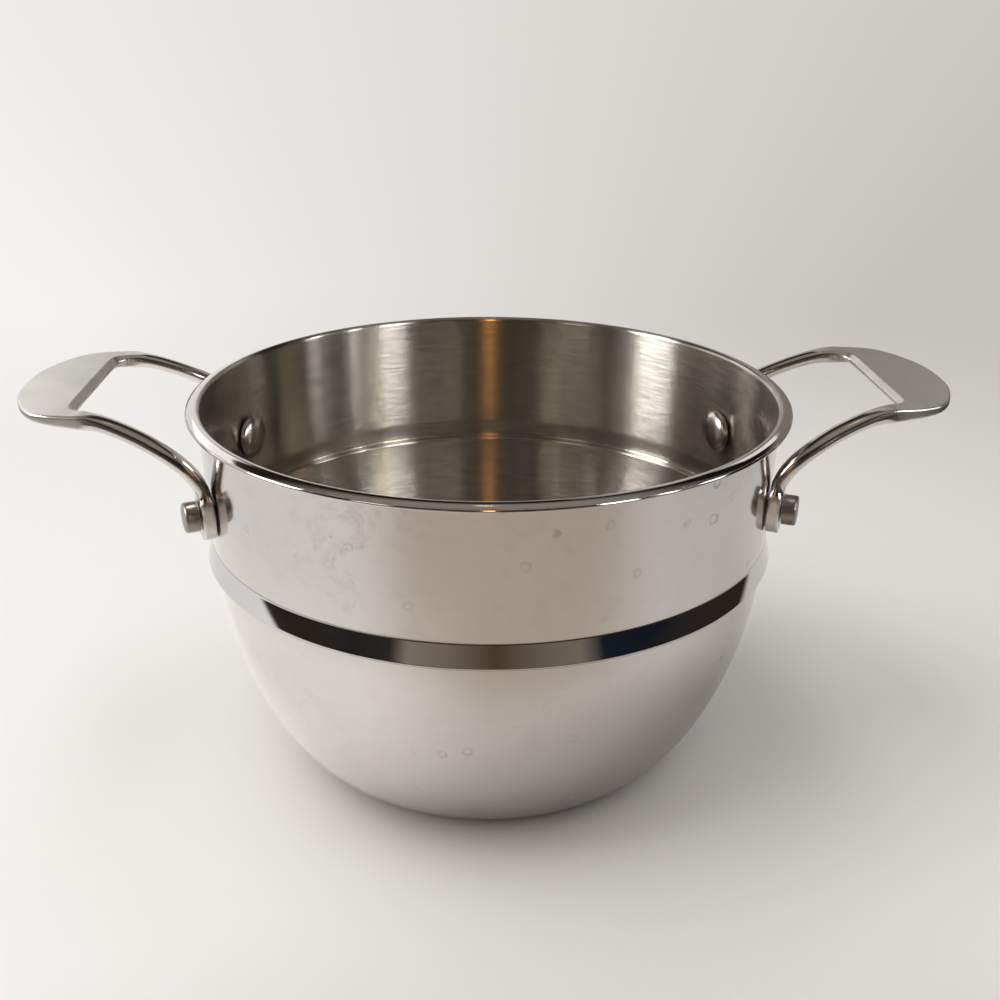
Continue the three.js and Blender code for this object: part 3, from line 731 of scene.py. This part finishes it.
# The camera sees the backdrop, the steel the walls and a dark ceiling, and the paper gets a glow from above.
room = bpy.data.worlds.new("room")
room.use_nodes = True
scene.world = room
tree = room.node_tree
ray = add(tree, "ShaderNodeLightPath")
way = add(tree, "ShaderNodeTexCoord").outputs["Generated"]
axes = add(tree, "ShaderNodeSeparateXYZ", {0: way})
x, y, z = axes.outputs
walls = room_walls(tree, x, y, 0.3)
ceiling = add(tree, "ShaderNodeMapRange", {0: x, 1: -0.2, 2: 0.35}).outputs[0]
ceiling = add(tree, "ShaderNodeMix", {0: ceiling, 6: linear(ceiling_left), 7: linear(ceiling_right)},
              data_type="RGBA").outputs[2]
overhead = add(tree, "ShaderNodeMapRange", {0: z, 1: 0.7, 2: 0.92},
               interpolation_type="SMOOTHSTEP").outputs[0]
ceiling = add(tree, "ShaderNodeMix", {0: overhead, 6: ceiling, 7: linear(ceiling_middle)},
              data_type="RGBA").outputs[2]
above = add(tree, "ShaderNodeMapRange", {0: z, 1: 0.36, 2: 0.48}, interpolation_type="SMOOTHSTEP").outputs[0]
dim = add(tree, "ShaderNodeMix", {0: above, 6: walls, 7: ceiling}, data_type="RGBA").outputs[2]
higher = add(tree, "ShaderNodeMapRange", {0: z, 1: 0.3, 2: 0.8}, interpolation_type="SMOOTHSTEP").outputs[0]
soft = add(tree, "ShaderNodeMix", {0: higher, 6: linear(low_glow), 7: linear(high_glow)},
           data_type="RGBA").outputs[2]
sky = add(tree, "ShaderNodeMix", {0: ray.outputs["Is Glossy Ray"], 6: soft, 7: dim},
          data_type="RGBA").outputs[2]
sky = add(tree, "ShaderNodeMix", {0: ray.outputs["Is Camera Ray"], 6: sky, 7: backdrop_colour(tree, x)},
          data_type="RGBA").outputs[2]
tree.links.new(sky, tree.nodes["Background"].inputs["Color"])


def soft_box(name, azimuth, height, distance, width, tall, power, colour="#ffffff", shows=True, lights=True,
             only=None):
    """A rectangular lamp at an azimuth in degrees, from the front towards the right, aimed at the basket.
    Shows is whether the steel mirrors it, lights whether it lights the paper, and only the one piece that it
    falls on."""
    lamp = bpy.data.lights.new(name, "AREA")
    lamp.shape = "RECTANGLE"
    lamp.size = width
    lamp.size_y = tall
    lamp.energy = power
    lamp.color = linear(colour)[:3]
    turn = np.radians(azimuth)
    place = np.array([np.sin(turn) * distance, -np.cos(turn) * distance, height])
    out = place - np.array([0, 0, 0.1])
    out /= np.linalg.norm(out)
    across = np.cross((0, 0, 1), out)
    across /= np.linalg.norm(across)
    up = np.cross(out, across)
    made = bpy.data.objects.new(name, lamp)
    made.matrix_world = Matrix((
        (across[0], up[0], out[0], place[0]),
        (across[1], up[1], out[1], place[1]),
        (across[2], up[2], out[2], place[2]),
        (0, 0, 0, 1)))
    made.visible_camera = False
    made.visible_glossy = shows
    made.visible_diffuse = lights
    scene.collection.objects.link(made)
    if only:
        lit = bpy.data.collections.new(name + "_falls_on")
        lit.objects.link(only)
        made.light_linking.receiver_collection = lit


# Azimuth in degrees, then height, distance, width and upright size in metres, then watts
soft_box("window", -80, 0.6, 1.2, 1.4, 1.0, 3.8, shows=False)
soft_box("window_pane", -83.5, 0.6, 1.2, 0.4, 0.5, 16.5, lights=False)
soft_box("right_box", 43.5, 0.6, 1.2, 0.25, 0.5, 5.6, lights=False)
soft_box("right_strip", 63, 0.6, 1.2, 0.06, 0.5, 1.8, lights=False)
soft_box("far_right_strip", 84, 0.6, 1.2, 0.1, 0.5, 2, lights=False)
soft_box("right_wall", 68, 0.6, 1.3, 0.7, 0.5, 0.5, lights=False)
soft_box("warm_strip", -2, 0.6, 1.2, 0.08, 0.5, 1.05, "#ffb264", lights=False, only=shell)
soft_box("left_strip", -42.7, 0.6, 1.2, 0.28, 0.5, 1.1, "#f0ecd8", lights=False)
soft_box("overhead", -78, 1.3, 0.45, 0.9, 0.9, 8.5, shows=False)
soft_box("ceiling", 180, 1.35, 0.38, 0.06, 0.06, 0.06, "#ffd9a0", lights=False)
soft_box("right_back", 145, 0.72, 1.05, 0.25, 0.25, 0.2, lights=False)
soft_box("right_far_back", 162, 0.8, 1.05, 0.25, 0.35, 0.12, lights=False)
soft_box("right_ceiling", 92, 0.95, 0.9, 0.9, 0.5, 0.12, lights=False)
soft_box("left_ceiling", -90, 0.98, 0.9, 0.9, 0.5, 0.14, lights=False)
soft_box("left_back", -132, 0.7, 1.1, 0.9, 0.35, 1.25, lights=False)
soft_box("fill", 110, 1.2, 0.7, 0.8, 0.8, 1.1, shows=False)

# The camera's place, heading, pitch and roll are those of the photograph, fitted to the basket's rings.
camera = bpy.data.cameras.new("camera")
camera.sensor_width = 36
camera.lens = 43.2
eye = (-0.0145, -0.40514, 0.2672)
heading, pitch, roll = np.radians((2.61, 23.06, 0.36))
forward = np.array([np.sin(heading) * np.cos(pitch), np.cos(heading) * np.cos(pitch), -np.sin(pitch)])
level = np.array([np.cos(heading), -np.sin(heading), 0])
upright = np.cross(level, forward)
right = level * np.cos(roll) + upright * np.sin(roll)
upward = upright * np.cos(roll) - level * np.sin(roll)
camera = bpy.data.objects.new("camera", camera)
camera.matrix_world = Matrix((
    (right[0], upward[0], -forward[0], eye[0]),
    (right[1], upward[1], -forward[1], eye[1]),
    (right[2], upward[2], -forward[2], eye[2]),
    (0, 0, 0, 1)))
scene.collection.objects.link(camera)
scene.camera = camera
scene.view_settings.view_transform = "Standard"
